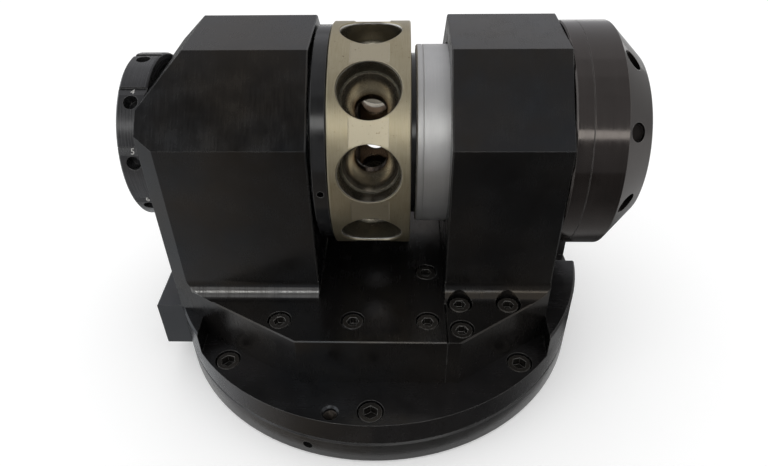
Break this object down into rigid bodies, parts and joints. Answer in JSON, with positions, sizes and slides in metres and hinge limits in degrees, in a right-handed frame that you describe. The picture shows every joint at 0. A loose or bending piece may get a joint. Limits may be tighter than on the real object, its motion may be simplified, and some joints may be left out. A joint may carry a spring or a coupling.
{
  "type": "indexing chuck",
  "caption": "Round-based indexing chuck: two towers hold a ring with radial pockets between a face plate and a sliding clamp pad, and a locked spindle turns it about a horizontal axis.",
  "frame": {"origin": "centre of the spindle register, on the back face of the adapter plate", "axes": "+Z along the machine spindle axis, away from the machine; +X along the index axis, from the dial to the end cap; -Y towards the picture's viewer"},
  "size_m": [0.377, 0.35, 0.269],
  "materials": {
    "base_steel": "dark ground steel",
    "black_steel": "black oxide, satin to glossy",
    "grey_steel": "ground grey",
    "screw_steel": "black oxide",
    "bright_steel": "ground",
    "bearing_bronze": "turned bronze",
    "ring_brass": "turned, pale champagne",
    "black_gloss": "black, polished",
    "pad_steel": "pale satin",
    "dial_steel": "dark turned",
    "cap_steel": "dark turned",
    "seal_rubber": "black"
  },
  "bodies": {
    "chuck_body": {"adapter_plate": "base_steel", "base_flange": "black_steel", "base_screws": "screw_steel", "side_block": "grey_steel", "side_block_screws": "screw_steel", "main_body": "black_steel", "body_screws": "screw_steel", "tail_block": "black_steel", "tail_block_screws": "screw_steel", "locating_dowels": "bright_steel", "bearing_housing": "bright_steel", "housing_screws": "screw_steel", "front_bush": "bearing_bronze", "rear_bush": "bearing_bronze", "thrust_washer": "bearing_bronze", "plunger_sleeve": "bearing_bronze", "plunger_plug": "bright_steel", "plunger_spring": "bright_steel", "quill_key": "bright_steel", "cylinder_flange": "cap_steel", "cylinder_screws": "screw_steel", "rod_seal": "seal_rubber", "cap_seal": "seal_rubber", "end_cap": "cap_steel"},
    "spindle": {"index_spindle": "bright_steel", "face_plate": "black_gloss", "face_plate_screws": "screw_steel", "index_plate": "bright_steel", "plate_spacer": "bright_steel", "plate_key": "bright_steel", "index_dial": "dial_steel", "dial_key": "bright_steel", "dial_washer": "bearing_bronze", "dial_nut": "black_steel", "collet": "grey_steel", "pocket_ring": "ring_brass", "spindle_end_cap": "bright_steel"},
    "collet_drawbar": {"drawbar": "bright_steel", "collet_cone": "bright_steel", "cone_screw": "screw_steel", "collet_piston": "bright_steel"},
    "plunger": {"lock_plunger": "bright_steel"},
    "quill": {"clamp_quill": "bright_steel", "bearing_outer_rings": "bright_steel", "bearing_balls": "bright_steel", "bearing_retainer": "bright_steel", "retainer_screws": "screw_steel", "clamp_piston": "bright_steel", "piston_seal": "seal_rubber", "piston_screw": "screw_steel"},
    "pad": {"clamp_pad": "pad_steel", "pad_nose": "black_gloss", "nose_screws": "screw_steel", "bearing_inner_rings": "bright_steel", "bearing_nut": "bright_steel"}
  },
  "joints": [
    {"name": "index_spin", "type": "hinge", "parent": "chuck_body", "child": "spindle", "pos_m": [0, 0, 0.1835], "axis": [1, 0, 0], "continuous": true},
    {"name": "collet_release", "type": "slide", "parent": "spindle", "child": "collet_drawbar", "axis": [1, 0, 0], "range_m": [0, 0.003]},
    {"name": "index_lock", "type": "slide", "parent": "chuck_body", "child": "plunger", "axis": [0, 0, 1], "range_m": [0, 0.007], "stiffness_N_per_m": 1500, "springref_m": -0.004, "deforming": ["plunger_spring"]},
    {"name": "clamp_release", "type": "slide", "parent": "chuck_body", "child": "quill", "axis": [1, 0, 0], "range_m": [0, 0.009]},
    {"name": "pad_spin", "type": "hinge", "parent": "quill", "child": "pad", "pos_m": [0, 0, 0.1835], "axis": [1, 0, 0], "continuous": true}
  ],
  "couplings": [
    {"joint": "pad_spin", "follows": "index_spin", "ratio": 1}
  ]
}
